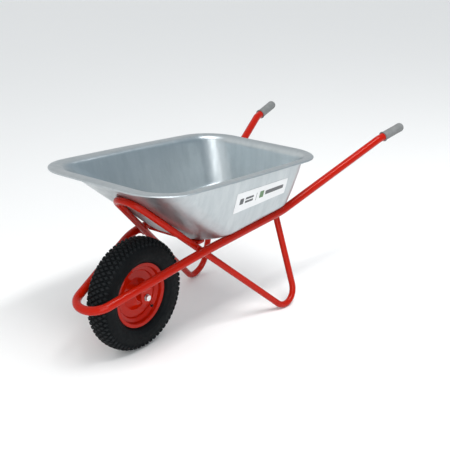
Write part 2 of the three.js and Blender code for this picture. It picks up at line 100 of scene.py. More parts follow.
BOLT_ROWS = ((64, FRONT_STRAP["thickness"]), (385, REAR_STRAP["thickness"]))  # place along the deck


def at(x, y, z):
    """A design point in the row frame, in metres."""
    return Vector((x * MM, y * MM + AXLE.y, z * MM))


def between(start, end):
    """The vector from one design point to another, in millimetres."""
    return Vector([b - a for a, b in zip(start, end)])


def mirrored(p):
    return Vector((-p.x, p.y, p.z))


def lerp(a, b, t):
    return a + (b - a) * t


def smooth_step(low, high, value):
    t = min(max((value - low) / (high - low), 0), 1)
    return t * t * (3 - 2 * t)


# ---- materials


class Look:
    """One procedural material. It works in row-frame metres, so patterns have real sizes."""

    def __init__(self, name, colour, roughness, **sockets):
        self.material = bpy.data.materials.new(name)
        self.material.use_nodes = True
        self.tree = self.material.node_tree
        self.shader = self.tree.nodes["Principled BSDF"]
        self.place = self.tree.nodes.new("ShaderNodeTexCoord").outputs["Object"]
        self.colour = (*colour, 1)
        self.shader.inputs["Base Color"].default_value = self.colour
        self.shader.inputs["Roughness"].default_value = roughness
        for socket, value in sockets.items():
            self.shader.inputs[socket.replace("_", " ")].default_value = value
        self.bumps = None

    def node(self, kind, **settings):
        made = self.tree.nodes.new("ShaderNode" + kind)
        for key, value in settings.items():
            setattr(made, key, value)
        return made

    def link(self, output, socket):
        self.tree.links.new(output, socket)

    def stretched(self, scale):
        """Object coordinates times a scale for each axis, in cells per metre."""
        mapping = self.node("Mapping")
        mapping.inputs["Scale"].default_value = scale
        self.link(self.place, mapping.inputs["Vector"])
        return mapping.outputs["Vector"]

    def noise(self, scale, detail=4, rough=0.55, distortion=0):
        made = self.node("TexNoise")
        scale = scale if isinstance(scale, tuple) else (scale,) * 3
        self.link(self.stretched(scale), made.inputs["Vector"])
        made.inputs["Scale"].default_value = 1
        made.inputs["Detail"].default_value = detail
        made.inputs["Roughness"].default_value = rough
        made.inputs["Distortion"].default_value = distortion
        return made.outputs["Fac"]

    def cells(self, scale):
        """A random colour for each grain, at a number of grains per metre."""
        made = self.node("TexVoronoi")
        self.link(self.stretched((scale,) * 3), made.inputs["Vector"])
        made.inputs["Scale"].default_value = 1
        return made.outputs["Color"]

    def remap(self, value, low, high, to_low, to_high):
        made = self.node("MapRange")
        self.link(value, made.inputs["Value"])
        ends = {"From Min": low, "From Max": high, "To Min": to_low, "To Max": to_high}
        for key, number in ends.items():
            made.inputs[key].default_value = number
        return made.outputs["Result"]

    def math(self, operation, a, b):
        made = self.node("Math", operation=operation)
        for socket, value in zip(made.inputs, (a, b)):
            if isinstance(value, (int, float)):
                socket.default_value = value
            else:
                self.link(value, socket)
        return made.outputs["Value"]

    def height(self):
        """Height above the ground."""
        made = self.node("SeparateXYZ")
        self.link(self.place, made.inputs["Vector"])
        return made.outputs["Z"]

    def tint(self, factor, colour):
        """Mixes another colour over what the base colour is so far."""
        mix = self.node("Mix", data_type="RGBA")
        target = self.shader.inputs["Base Color"]
        if target.is_linked:
            self.link(target.links[0].from_socket, mix.inputs[6])
        else:
            mix.inputs[6].default_value = self.colour
        mix.inputs[7].default_value = (*colour, 1)
        self.link(factor, mix.inputs[0])
        self.link(mix.outputs[2], target)

    def rough(self, value):
        self.link(value, self.shader.inputs["Roughness"])

    def bump(self, height, distance, strength=1.0):
        made = self.node("Bump")
        made.inputs["Strength"].default_value = strength
        made.inputs["Distance"].default_value = distance
        self.link(height, made.inputs["Height"])
        if self.bumps:
            self.link(self.bumps, made.inputs["Normal"])
        self.bumps = made.outputs["Normal"]
        self.link(self.bumps, self.shader.inputs["Normal"])


def red_powder_coat():
    look = Look("red_powder_coat", (0.39, 0.0078, 0.0005), 0.12, Specular_IOR_Level=0.18)
    look.tint(look.remap(look.noise(9, 3), 0.35, 0.7, 0, 0.35), (0.34, 0.0055, 0.0005))
    scuff = look.remap(look.noise((260, 260, 60), 5, 0.7), 0.66, 0.74, 0, 0.5)
    low = look.remap(look.height(), 0.0, 0.035, 1, 0)
    look.tint(look.math("MULTIPLY", scuff, low), (0.2, 0.16, 0.15))
    look.rough(look.remap(look.noise(60, 4), 0.3, 0.7, 0.08, 0.14))
    look.bump(look.noise(420, 2), 0.00001, 0.5)
    return look.material


def galvanised_steel():
    look = Look("galvanised_steel", (0.47, 0.51, 0.525), 0.32, Metallic=0.96)
    spangle = look.node("SeparateColor")
    look.link(look.cells(95), spangle.inputs["Color"])
    look.tint(look.remap(spangle.outputs["Red"], 0, 1, 0, 0.14), (0.58, 0.61, 0.63))
    streak = look.noise((48, 48, 3), 5, 0.5)
    look.tint(look.remap(streak, 0.44, 0.66, 0, 0.3), (0.37, 0.415, 0.44))
    look.tint(look.remap(look.noise((20, 20, 3), 3, 0.5), 0.5, 0.7, 0, 0.3), (0.62, 0.65, 0.66))
    look.tint(look.remap(look.noise(5, 4, 0.6, 1.5), 0.4, 0.75, 0, 0.4), (0.43, 0.475, 0.50))
    look.rough(look.math("ADD", look.remap(streak, 0.3, 0.7, 0.27, 0.38),
                         look.remap(look.noise(14, 4), 0.3, 0.7, 0, 0.09)))
    look.bump(look.noise(26, 3, 0.5, 0.6), 0.0011, 0.5)
    look.bump(look.noise((230, 230, 26), 4), 0.00012, 0.5)
    look.bump(spangle.outputs["Green"], 0.00003, 0.4)
    return look.material


def speckled(name, colour, roughness, second, blotch, gloss, grain, **sockets):
    """Blotches of a second colour (scale, detail, low, high, share), uneven gloss (scale, detail, low,
    high) and a fine grain (scale, detail, distance, strength)."""
    look = Look(name, colour, roughness, **sockets)
    scale, detail, low, high, share = blotch
    look.tint(look.remap(look.noise(scale, detail), low, high, 0, share), second)
    scale, detail, low, high = gloss
    look.rough(look.remap(look.noise(scale, detail), 0.3, 0.7, low, high))
    scale, detail, distance, strength = grain
    look.bump(look.noise(scale, detail), distance, strength)
    return look.material


def film(name, colour):
    return speckled(name, colour, 0.35, tuple(0.9 * c for c in colour), (30, 3, 0.4, 0.8, 0.25),
                    (160, 3, 0.3, 0.42), (50, 3, 0.0003, 0.3), Coat_Weight=0.2, Coat_Roughness=0.15)


def rubber(name, colour, dust):
    """Rubber with a dusty film. A point attribute of the tyre is 1 on top of its blocks, whose colour is made
    paler there as a painted highlight for their lit tops.
    """
    look = Look(name, colour, 0.42, Specular_IOR_Level=0.12)
    look.tint(look.remap(look.noise(38, 5, 0.65), 0.45, 0.8, 0, dust), (0.034, 0.034, 0.033))
    # painted highlight: the tops of the tyre's blocks are tinted paler, standing in for their lit tops
    painted_block_highlight = look.node("Attribute")
    painted_block_highlight.attribute_name = "painted_block_highlight"
    look.tint(look.remap(painted_block_highlight.outputs["Fac"], 0.6, 0.95, 0, 0.36), (0.024, 0.027, 0.029))
    look.rough(look.remap(look.noise(120, 4), 0.3, 0.7, 0.5, 0.74))
    look.bump(look.noise(900, 3), 0.0001, 0.5)
    return look.material


MATERIALS = {
    "red_powder_coat": red_powder_coat(),
    "galvanised_steel": galvanised_steel(),
    "zinc_fasteners": speckled("zinc_fasteners", (0.70, 0.71, 0.72), 0.26, (0.62, 0.60, 0.55),
                               (150, 3, 0.4, 0.7, 0.4), (300, 3, 0.2, 0.36), (700, 3, 0.00005, 0.5),
                               Metallic=0.95),
    "bare_steel": speckled("bare_steel", (0.42, 0.42, 0.43), 0.32, (0.30, 0.29, 0.28),
                           (90, 3, 0.4, 0.7, 0.5), (220, 3, 0.25, 0.42), (600, 3, 0.00004, 0.5),
                           Metallic=1),
    "tyre_rubber": rubber("tyre_rubber", (0.0013, 0.0024, 0.0031), 0.1),
    "tube_rubber": rubber("tube_rubber", (0.012, 0.012, 0.012), 0.15),
    "grey_plastic": speckled("grey_plastic", (0.165, 0.17, 0.168), 0.5, (0.25, 0.25, 0.25),
                             (45, 4, 0.4, 0.75, 0.5), (200, 3, 0.42, 0.58), (1100, 2, 0.0001, 0.5),
                             Specular_IOR_Level=0.2),
    "white_label": film("white_label", (0.74, 0.745, 0.75)),
}
RED = "red_powder_coat"
WELD = speckled("painted_weld", (0.52, 0.009, 0.004), 0.3, (0.34, 0.006, 0.003), (260, 4, 0.45, 0.7, 0.5),
                (300, 3, 0.24, 0.42), (700, 3, 0.0002, 0.6), Specular_IOR_Level=0.45)
INK = film("label_ink", (0.05, 0.055, 0.06))
INK_GREEN = film("label_ink_green", (0.06, 0.16, 0.05))


# ---- mesh helpers


def added(name, data):
    """A new object in the scene."""
    made = bpy.data.objects.new(name, data)
    bpy.context.scene.collection.objects.link(made)
    return made


def piece(name, points, faces, slot, body, *nodes, material=None, sharp=35):
    """A mesh in the row frame that rides on a body and stands for some CAD nodes."""
    mesh = bpy.data.meshes.new(name)
    mesh.from_pydata([tuple(p) for p in points], [], faces)
    bm = bmesh.new()
    bm.from_mesh(mesh)
    bmesh.ops.remove_doubles(bm, verts=bm.verts, dist=1e-7)
    bmesh.ops.recalc_face_normals(bm, faces=bm.faces)
    bm.to_mesh(mesh)
    bm.free()
    mesh.shade_smooth()
    mesh.set_sharp_from_angle(angle=math.radians(sharp))
    mesh.materials.append(material or MATERIALS[slot])
    made = added(name, mesh)
    if nodes:
        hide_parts(*nodes)
    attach(made, body)
    return made


def bent_path(corners, radii, step=4.0, fixed=0):
    """Corners joined by circular bends, as (point, direction) stations."""
    first, second = corners[0], corners[1]
    stations = [(first, (second - first).normalized())]
    for i in range(1, len(corners) - 1):
        corner = corners[i]
        before = (corners[i - 1] - corner).normalized()
        after = (corners[i + 1] - corner).normalized()
        half = before.angle(after) / 2
        turn = math.pi - 2 * half
        radius = radii[i - 1]
        centre = corner + (before + after).normalized() * (radius / math.sin(half))
        start = corner + before * (radius / math.tan(half)) - centre
        axis = start.cross(-before).normalized()
        steps = fixed or max(3, math.ceil(math.degrees(turn) / step))
        for k in range(steps + 1):
            swing = Matrix.Rotation(turn * k / steps, 3, axis)
            stations.append((centre + swing @ start, swing @ -before))
    stations.append((corners[-1], (corners[-1] - corners[-2]).normalized()))
    return stations


def swept(stations, rings, sides=40):
    """Points and faces of a tube along the stations. rings gives the outer and inner radius at each, or
    one radius for a solid bar."""
    points, faces = [], []
    normal = stations[0][1].orthogonal().normalized()
    shells = len(rings[0])
    for (point, tangent), radii in zip(stations, rings):
        normal = (normal - tangent * normal.dot(tangent)).normalized()
        across = tangent.cross(normal)
        for radius in radii:
            for k in range(sides):
                a = 2 * math.pi * k / sides
                points.append(point + (normal * math.cos(a) + across * math.sin(a)) * radius)

    def index(station, shell, k):
        return (station * shells + shell) * sides + k % sides

    last = len(stations) - 1
    for k in range(sides):
        for s in range(last):
            for shell in range(shells):
                faces.append((index(s, shell, k), index(s, shell, k + 1),
                              index(s + 1, shell, k + 1), index(s + 1, shell, k)))
        if shells == 2:
            for s in (0, last):
                faces.append((index(s, 0, k), index(s, 0, k + 1), index(s, 1, k + 1), index(s, 1, k)))
    if shells == 1:
        for s in (0, last):
            faces.append(tuple(index(s, 0, k) for k in range(sides)))
    return points, faces


def slab_faces(columns, rows):
    """Faces of a slab: one grid of points, then the grid on its other side, closed round the edge."""
    stride = rows + 1
    half = (columns + 1) * stride
    faces = []
    for i in range(columns):
        for j in range(rows):
            for base in (0, half):
                a = base + i * stride + j
                faces.append((a, a + stride, a + stride + 1, a + 1))
    edge = ([i * stride for i in range(columns)] + [columns * stride + j for j in range(rows)]
            + [i * stride + rows for i in range(columns, 0, -1)] + list(range(rows, 0, -1)))
    for a, b in zip(edge, edge[1:] + edge[:1]):
        faces.append((a, b, b + half, a + half))
    return faces


def polar(place, radius, angle, along=0):
    return place @ Vector((radius * math.cos(angle), radius * math.sin(angle), along))


def turned_faces(segments, count):
    """Faces between the turned copies of a closed profile with that count of points."""
    faces = []
    for k in range(segments):
        n = (k + 1) % segments
        for j in range(count):
            m = (j + 1) % count
            faces.append((k * count + j, n * count + j, n * count + m, k * count + m))
    return faces


def lathe(profile, place, segments=64):
    """A profile of (along, radius) in millimetres, turned about the place matrix's Z axis."""
    points = []
    for k in range(segments):
        a = 2 * math.pi * k / segments
        points += [polar(place, radius, a, along) for along, radius in profile]
    return points, turned_faces(segments, len(profile))


def placed(origin, axis):
    """A matrix that puts +Z along the axis at the origin, and scales millimetres to metres."""
    turn = axis.to_track_quat("Z", "Y").to_matrix().to_4x4()
    return Matrix.Translation(origin) @ turn @ Matrix.Scale(MM, 4)


def rounded(corners, radii, steps=5):
    """A flat profile with its inner corners rounded, as plain pairs."""
    line = [Vector((x, y, 0)) for x, y in corners]
    return [(p.x, p.y) for p, _ in bent_path(line, radii, fixed=steps)]


def sheet_profile(line, thickness):
    """A closed profile: the line, and the line moved sideways by the thickness."""
    side = []
    for i, p in enumerate(line):
        a = Vector(line[max(i - 1, 0)])
        b = Vector(line[min(i + 1, len(line) - 1)])
        d = (b - a).normalized()
        side.append((p[0] - d.y * thickness, p[1] + d.x * thickness))
    return [*line, *reversed(side)]


def turned(name, profile, place, slot, body, *nodes, segments=64):
    piece(name, *lathe(profile, place, segments), slot, body, *nodes)


def ring(low, high, bore, radius, chamfer):
    """The profile of a ring with its outer corners cut."""
    return [(low, bore), (low, radius - chamfer), (low + chamfer, radius),
            (high - chamfer, radius), (high, radius - chamfer), (high, bore)]


def thread(radius, pitch, start, length):
    """Profile points of a screw thread from start to start + length, crest to root."""
    points = []
    for k in range(int(length / pitch)):
        z = start + k * pitch
        points += [(z, radius), (z + pitch * 0.5, radius - pitch * 0.5)]
    return points


def hexagon(name, across, low, high, bore, place, *nodes):
    """A six-sided nut or head of zinc-plated steel with chamfered ends, and a bore if it is above zero."""
    sides = 48
    chamfer = across / 2 * 1.04

    def outer(angle):
        return across / 2 / math.cos((angle + math.pi / 6) % (math.pi / 3) - math.pi / 6)

    cut = (across / math.sqrt(3) - chamfer) * 0.6
    layers = [(low, True), (low + cut, False), (high - cut, False), (high, True)]
    points, faces = [], []
    for z, trimmed in layers:
        for k in range(sides):
            a = 2 * math.pi * k / sides
            points.append(polar(place, min(outer(a), chamfer) if trimmed else outer(a), a, z))
    rows = len(layers)
    for j in range(rows - 1):
        for k in range(sides):
            n = (k + 1) % sides
            faces.append((j * sides + k, j * sides + n, (j + 1) * sides + n, (j + 1) * sides + k))
    ends = (0, (rows - 1) * sides)
    if bore:
        for z in (low, high):
            points += [polar(place, bore, 2 * math.pi * k / sides, z) for k in range(sides)]
        inner = (rows * sides, (rows + 1) * sides)
        for k in range(sides):
            n = (k + 1) % sides
            faces.append((inner[0] + k, inner[0] + n, inner[1] + n, inner[1] + k))
            for end, hole in zip(ends, inner):
                faces.append((end + k, end + n, hole + n, hole + k))
    else:
        for end in ends:
            faces.append(tuple(end + k for k in range(sides)))
    piece(name, points, faces, "zinc_fasteners", "frame", *nodes, sharp=20)


WELD_STEP = 0.8
WELD_RIPPLE = 0.16  # share of the bead's radius


def weld_bead(name, line, radius, body="frame"):
    """A rippled weld along a line of points, with a ripple every three stations."""
    stations = []
    for a, b in zip(line, line[1:]):
        runs = max(2, round((b - a).length / (WELD_STEP * MM)))
        stations += [(lerp(a, b, k / runs), (b - a).normalized()) for k in range(runs)]
    stations.append((line[-1], (line[-1] - line[-2]).normalized()))
    rings = []
    for k in range(len(stations)):
        end = min(k, len(stations) - 1 - k)
        swell = 1 + WELD_RIPPLE * math.sin(k * 2 * math.pi / 3)
        taper = min(1, 0.35 + end * 0.2)
        rings.append((radius * MM * swell * taper,))
    piece(name, *swept(stations, rings, 14), RED, body, material=WELD, sharp=60)


# ---- frame tubes and grips


def bent_tube(name, corners, bends, outer, wall, node):
    """A hollow tube through the corners on the left, then through their mirror images on the right."""
    line = [at(*p) for p in corners]
    line += [mirrored(p) for p in reversed(line)]
    stations = bent_path(line, [r * MM for r in (*bends, *reversed(bends))])
    rings = [(outer * MM, (outer - wall) * MM)] * len(stations)
    piece(name, *swept(stations, rings), RED, "frame", node)


def frame_tubes():
    main = (HANDLE_END, GRIP_BEND, REAR_BEND, FRONT_BEND, NOSE)
    bent_tube("main_tube", main, MAIN_RADII, FRAME_TUBE, FRAME_WALL, "main_frame_tube")
    legs = (LEG_TOP, FOOT, HOOP)
    bent_tube("leg_and_hoop_tube", legs, LEG_RADII, LEG_TUBE, LEG_WALL, "leg_hoop_tube")


def grip(side, sign):
    """A moulded sleeve with a collar at its open end and a dimple in its domed end."""
    end = at(*HANDLE_END)
    bend = at(*GRIP_BEND)
    if sign < 0:
        end = mirrored(end)
        bend = mirrored(bend)
    along = (end - bend).normalized()
    place = placed(end + along * (GRIP_PROUD - GRIP_LENGTH) * MM, along)
    r = GRIP_RADIUS
    length = GRIP_LENGTH - GRIP_TRIM
    inner = FRAME_TUBE + GRIP_PLAY
    collar = [(0, inner), (0, r + 1.2), (0.6, r + 2), (2.6, r + 2), (3.4, r + 1.2), (4.2, r)]
    sleeve = [(4.6, r - 0.3), (length - 30, r - 0.3)]
    dome = [(length - 13 + 13 * math.sin(a), r - 9 + 9 * math.cos(a) ** 0.8)
            for a in (math.radians(d) for d in range(0, 86, 6))]
    dimple = [(length - 0.1, 4), (length - 0.4, 1.9), (length - 2.2, 1.6), (length - 2.4, CORE)]
    bottom = [(length - 5, CORE), (length - 5, inner)]
    profile = [*collar, *sleeve, *dome, *dimple, *bottom]
    turned(f"moulded_grip_{side}", profile, place, "grey_plastic", "frame", f"grip_{side}")


# ---- brackets, stubs, straps and welds

BRACKET_X = 52  # the plate's inner face
BRACKET_PLATE = 4
BRACKET_HALF = 25  # half the plate's width, and the radius of its lower end
BRACKET_FOOT = -24.6  # its lowest row, just inside the round end
BRACKET_BEND = 28  # height above the axle where it turns outward
BRACKET_LEAN = Vector((54, 0, 56))  # from that bend to its top
TUBE_SLOPE = between(NOSE, FRONT_BEND)

STUB_Y = 188
STUB_Z = 336
STUB_INNER = 122
STUB_OUTER = 156
STUB_RADIUS = 8
STUB_WELDS = (("inner", 129.5), ("outer", 150))

LEG_WELDS = (("lower", Vector((156.5, 610, 343))), ("upper", Vector((156.5, 610, 361))))
LEG_WELD_HALF = 11


def side_weld(name, middle, reach, sign, radius):
    """A straight weld to both sides of a middle point on the left, or its mirror image on the right."""
    line = [at(*(middle + reach * k)) for k in (-1, 1)]
    if sign < 0:
        line = [mirrored(p) for p in line]
    weld_bead(name, line, radius)


def axle_bracket(side, sign):
    """A 4 mm plate with a round lower end, bent outward from the axle up to the frame tube."""
    middle = BRACKET_X + BRACKET_PLATE / 2
    line = [Vector((middle, 0, z)) for z in (BRACKET_FOOT, BRACKET_BEND)]
    line.append(line[-1] + BRACKET_LEAN)
    stations = bent_path(line, [12], fixed=6)
    dense = []
    row_step = 2.5
    for (p, _), (q, _) in zip(stations, stations[1:]):
        runs = max(1, round((q - p).length / row_step))
        dense += [lerp(p, q, k / runs) for k in range(runs)]
    dense.append(stations[-1][0])
    columns = 16
    points = []
    for face_side in (1, -1):
        for i, p in enumerate(dense):
            ahead = dense[min(i + 1, len(dense) - 1)]
            behind = dense[max(i - 1, 0)]
            along = (ahead - behind).normalized()
            out = Vector((along.z, 0, -along.x)) * BRACKET_PLATE / 2
            half = BRACKET_HALF if p.z >= 0 else math.sqrt(max(BRACKET_HALF**2 - p.z**2, 1))
            for k in range(columns + 1):
                q = p + out * face_side + Vector((0, half * (2 * k / columns - 1), 0))
                points.append(AXLE + Vector((q.x * sign, q.y, q.z)) * MM)
    faces = slab_faces(len(dense) - 1, columns)
    made = piece(f"bent_bracket_{side}", points, faces, RED, "frame", f"axle_bracket_{side}")
    bevel(made, 0.7)
    height = FRONT_BEND[2] - TUBE_SLOPE.z * FRONT_BEND[1] / TUBE_SLOPE.y
    x = FRONT_BEND[0] - TUBE_SLOPE.x * FRONT_BEND[1] / TUBE_SLOPE.y
    plate = BRACKET_LEAN.normalized()
    top = Vector((x, 0, height)) - plate * (FRAME_TUBE + 0.5)
    reach = TUBE_SLOPE.normalized() * (BRACKET_HALF - 1)
    for name, offset in (("outer", 3.0), ("inner", -3.0)):
        middle = top + Vector((plate.z, 0, -plate.x)) * offset
        side_weld(f"bracket_weld_{name}_{side}", middle, reach, sign, 2.4)


def bevel(obj, width, segments=2):
    modifier = obj.modifiers.new("edges", "BEVEL")
    modifier.width = width * MM
    modifier.segments = segments
    modifier.limit_method = "ANGLE"
    modifier.angle_limit = math.radians(50)


def circle_line(centre, axis, radius, steps=40):
    place = placed(centre, axis)
    return [polar(place, radius, 2 * math.pi * k / steps) for k in range(steps + 1)]


def strut_stub(side, sign):
    """The short bar between strut and frame tube, with a weld round each end."""
    start = at(sign * STUB_INNER, STUB_Y, STUB_Z)
    end = at(sign * STUB_OUTER, STUB_Y, STUB_Z)
    place = placed(start, (end - start).normalized())
    length = STUB_OUTER - STUB_INNER
    bar = [(0, CORE), (0, STUB_RADIUS), (length, STUB_RADIUS), (length, CORE)]
    turned(f"welded_stub_{side}", bar, place, RED, "frame", f"strut_stub_{side}")
    for name, x in STUB_WELDS:
        line = circle_line(at(sign * x, STUB_Y, STUB_Z), Vector((1, 0, 0)), STUB_RADIUS + 0.6)
        weld_bead(f"stub_weld_{name}_{side}", line, 2.0)


def leg_weld(side, sign):
    """The welds under and over the top of the leg, where it lies against the frame tube."""
    reach = between(FRONT_BEND, REAR_BEND).normalized() * LEG_WELD_HALF
    for name, middle in LEG_WELDS:
        side_weld(f"leg_weld_{name}_{side}", middle, reach, sign, 2.6)


def deck_matrix():
    """The frame of the tray floor's underside: +Y runs up its slope toward the handles."""
    slope = Matrix.Rotation(math.atan(DECK_RISE), 4, "X")
    return Matrix.Translation(at(0, FRONT_BEND[1], DECK_Z)) @ slope @ Matrix.Scale(MM, 4)


def cross_strap(name, node, y, half, width, thickness):
    """A flat bar with rounded edges, its ends welded between the side tubes."""
    bm = bmesh.new()
    bmesh.ops.create_cube(bm, size=1)
    deck = deck_matrix()
    size = Matrix.Diagonal((2 * half, width, thickness, 1))
    bm.transform(deck @ (Matrix.Translation((0, y, -GAP - thickness / 2)) @ size))
    points = [v.co.copy() for v in bm.verts]
    faces = [tuple(v.index for v in f.verts) for f in bm.faces]
    bm.free()
    made = piece(name, points, faces, RED, "frame", node)
    bevel(made, 1.4, 3)
    reach = width / 2 - 2
    for side, sign in SIDES:
        line = [deck @ Vector((sign * (half - 1), y + k * reach, -thickness - 0.8)) for k in (-1, 1)]
        weld_bead(f"{name}_weld_{side}", line, 2.2)


# ---- tray


def outline(front, rear, half_front, half_rear, r_front, r_rear, bulge=0.0):
    """A four-sided outline with round corners, from the middle of the front edge to the left and round."""
    places = ((0, front), (half_front, front), (half_rear, rear), (0, rear))
    corners = [Vector((x, y, 0)) for x, y in places]
    half = [p for p, _ in bent_path(corners, [r_front, r_rear], fixed=CORNER_STEPS)]
    runs = {0: END_RUNS, CORNER_STEPS + 1: SIDE_RUNS, len(half) - 2: END_RUNS}
    points = []
    for i in range(len(half) - 1):
        count = runs.get(i, 1)
        points += [lerp(half[i], half[i + 1], k / count) for k in range(count)]
    points.append(half[-1])
    middle = (front + rear) / 2
    reach = (rear - front) / 2
    for p in points:
        share = 1 - ((p.y - middle) / reach) ** 2
        p.x += bulge * max(share, 0) ** 1.5 * p.x / max(half_front, half_rear)
    return points + [Vector((-p.x, p.y, 0)) for p in reversed(points[1:-1])]


def flange_height(y):
    return lerp(RIM_FRONT_Z, RIM_REAR_Z, (y - FLANGE["front"]) / (FLANGE["rear"] - FLANGE["front"]))


def floor_height(y):
    return DECK_Z + DECK_RISE * (y - FRONT_BEND[1])


def lifted(points, height):
    return [Vector((p.x, p.y, height(p.y))) for p in points]


RIM_LINE = lifted(outline(**FLANGE, bulge=SIDE_BULGE), flange_height)
TOP_LINE = lifted(outline(**WALL_TOP, bulge=SIDE_BULGE), flange_height)
FOOT_LINE = lifted(outline(**WALL_FOOT), floor_height)
FLANGE_CROWN = 1.2
WALL_BULGE = 3.0
TRAY_DROP = 0.1  # lowers the wavy sheet a little, to stay in the CAD box

# A section of the sheet runs through these rows: curl, flange, upper bend, wall, lower bend, floor.
CURL_ANGLES = range(250, -1, -25)
FLANGE_STEPS = 5
BEND_STEPS = 8
WALL_STEPS = 26
FLOOR_RINGS = 12
WALL_START = len(CURL_ANGLES) + FLANGE_STEPS - 1 + BEND_STEPS
WALL_ROWS = slice(WALL_START, WALL_START + WALL_STEPS + 1)
STILL_ROWS = 12  # rows from the edge that stay even
WAVY_ROWS = 24  # rows from the edge after which the sheet is as uneven as it gets


def tray_section(i):
    """The sheet's lower side, from inside the rolled edge over the flange and down to the flat floor."""
    rim, top, foot = RIM_LINE[i], TOP_LINE[i], FOOT_LINE[i]
    count = len(FOOT_LINE)
    out = (rim - top).normalized()
    centre = rim - out * (CURL + SHEET) - UP * CURL
    curl = [centre + (out * math.sin(a) + UP * math.cos(a)) * CURL
            for a in (math.radians(d) for d in CURL_ANGLES)]
    around = FOOT_LINE[(i + 1) % count] - FOOT_LINE[i - 1]
    inward = Vector((-around.y, around.x, 0)).normalized()
    floor = foot + inward * FLOOR_MARGIN
    floor.z = floor_height(floor.y)
    corners = [curl[-1], top, foot, floor]
    bends = [p for p, _ in bent_path(corners, [FLANGE_BEND, FLOOR_BEND], fixed=BEND_STEPS)]
    upper = bends[1:BEND_STEPS + 2]
    lower = bends[BEND_STEPS + 2:]
    flange = []
    for k in range(1, FLANGE_STEPS):
        crown = UP * FLANGE_CROWN * math.sin(math.pi * k / FLANGE_STEPS)
        flange.append(lerp(bends[0], upper[0], k / FLANGE_STEPS) + crown)
    wall = []
    for k in range(1, WALL_STEPS):
        bulge = inward * WALL_BULGE * math.sin(math.pi * k / WALL_STEPS)
        wall.append(lerp(upper[-1], lower[0], k / WALL_STEPS) - bulge)
    return [*curl, *flange, *upper, *wall, *lower]


def waviness(p):
    """Slow unevenness of the thin sheet after the press, in millimetres."""
    slow = noise.noise(Vector((p.x, p.y, p.z)) / 95)
    fast = noise.noise(Vector((p.x + 500, p.y, p.z)) / 38)
    return 0.55 * slow + 0.16 * fast


def tray():
    """The pressed sheet: every section goes on to the middle of the floor, and has an upper side as well."""
    lower = [tray_section(i) for i in range(len(RIM_LINE))]
    count = len(lower)
    centre = sum((s[-1] for s in lower), Vector()) / count
    centre.z = floor_height(centre.y)
    for section in lower:
        edge = section[-1]
        section += [lerp(edge, centre, k / FLOOR_RINGS) for k in range(1, FLOOR_RINGS)]
    total = len(lower[0])
    upper = []
    for i in range(count):
        row = []
        for j in range(total):
            p = lower[i][j]
            around = lower[(i + 1) % count][j] - lower[i - 1][j]
            inward = lower[i][min(j + 1, total - 1)] - lower[i][max(j - 1, 0)]
            normal = around.cross(inward).normalized()
            row.append(p + normal * SHEET)
        upper.append(row)
    wavy = []
    for grid in (lower, upper):
        for i in range(count):
            for j in range(total):
                normal = (upper[i][j] - lower[i][j]).normalized()
                share = smooth_step(STILL_ROWS, WAVY_ROWS, j)
                wavy.append(grid[i][j] + normal * waviness(lower[i][j]) * share)
    wavy += [centre, centre + UP * SHEET]

    def index(shell, i, j):
        return (shell * count + i % count) * total + j

    faces = []
    for i in range(count):
        for j in range(total - 1):
            for shell in (0, 1):
                faces.append((index(shell, i, j), index(shell, i + 1, j),
                              index(shell, i + 1, j + 1), index(shell, i, j + 1)))
        faces.append((index(0, i, 0), index(0, i + 1, 0), index(1, i + 1, 0), index(1, i, 0)))
        for shell in (0, 1):
            middle = 2 * count * total + shell
            faces.append((index(shell, i, total - 1), index(shell, i + 1, total - 1), middle))
    world = [at(p.x, p.y, p.z - TRAY_DROP) for p in wavy]
    piece("pressed_tray", world, faces, "galvanised_steel", "frame", "tray", sharp=60)


# ---- label on the left wall

LABEL = dict(front=268, rear=566, low=0.33, high=0.70)  # ends along Y, edges as shares of the wall
LABEL_HEIGHT = 88.0  # the distance between its lower and upper edge along the wall
WALL_TILT = 0.27  # how much the side wall's outside faces down
FILM = dict(lift=0.35, thickness=0.3, radius=3, steps=(24, 8))
BAR = dict(lift=0.68, thickness=0.08, steps=(8, 4))
NARROW = 0.02  # a bar narrower than this share of the label has finer corners


def wall_point(y, up, lift):
    """A point that stands off the left wall's outside, at a place along it and a share of its height."""
    line = []
    for i in range(1, len(RIM_LINE) // 2):
        wall = tray_section(i)[WALL_ROWS]
        place = (1 - up) * (len(wall) - 1)
        k = min(int(place), len(wall) - 2)
        line.append(lerp(wall[k], wall[k + 1], place - k))
    for a, b in zip(line, line[1:]):
        if a.y <= y <= b.y:
            t = (y - a.y) / (b.y - a.y)
            along = (b - a).normalized()
            out = along.cross(UP).normalized()
            out = (out - UP * WALL_TILT).normalized()
            p = lerp(a, b, t)
            return p + out * (lift - waviness(p))
    raise ValueError("the label runs past the wall")


def panel(name, u0, u1, v0, v1, lift, thickness, radius, steps, material=None, nodes=()):
    """A thin rounded rectangle that follows the wall. u and v are shares of the label's length and height."""
    length = LABEL["rear"] - LABEL["front"]
    tall = LABEL_HEIGHT
    columns, rows = steps
    middle_u = (u0 + u1) / 2
    middle_v = (v0 + v1) / 2
    half_u = (u1 - u0) * length / 2
    half_v = (v1 - v0) * tall / 2
    grid = []
    for i in range(columns + 1):
        for j in range(rows + 1):
            du = (lerp(u0, u1, i / columns) - middle_u) * length
            dv = (lerp(v0, v1, j / rows) - middle_v) * tall
            excess = Vector((max(abs(du) - half_u + radius, 0), max(abs(dv) - half_v + radius, 0)))
            if excess.length > radius:
                pull = radius / excess.length
                du = math.copysign(half_u - radius + excess.x * pull, du)
                dv = math.copysign(half_v - radius + excess.y * pull, dv)
            grid.append((middle_u + du / length, middle_v + dv / tall))
    points = []
    for depth in (lift, lift + thickness):
        for u, v in grid:
            y = lerp(LABEL["front"], LABEL["rear"], u)
            points.append(at(*wall_point(y, lerp(LABEL["low"], LABEL["high"], v), depth)))
    piece(name, points, slab_faces(columns, rows), "white_label", "frame", *nodes, material=material)


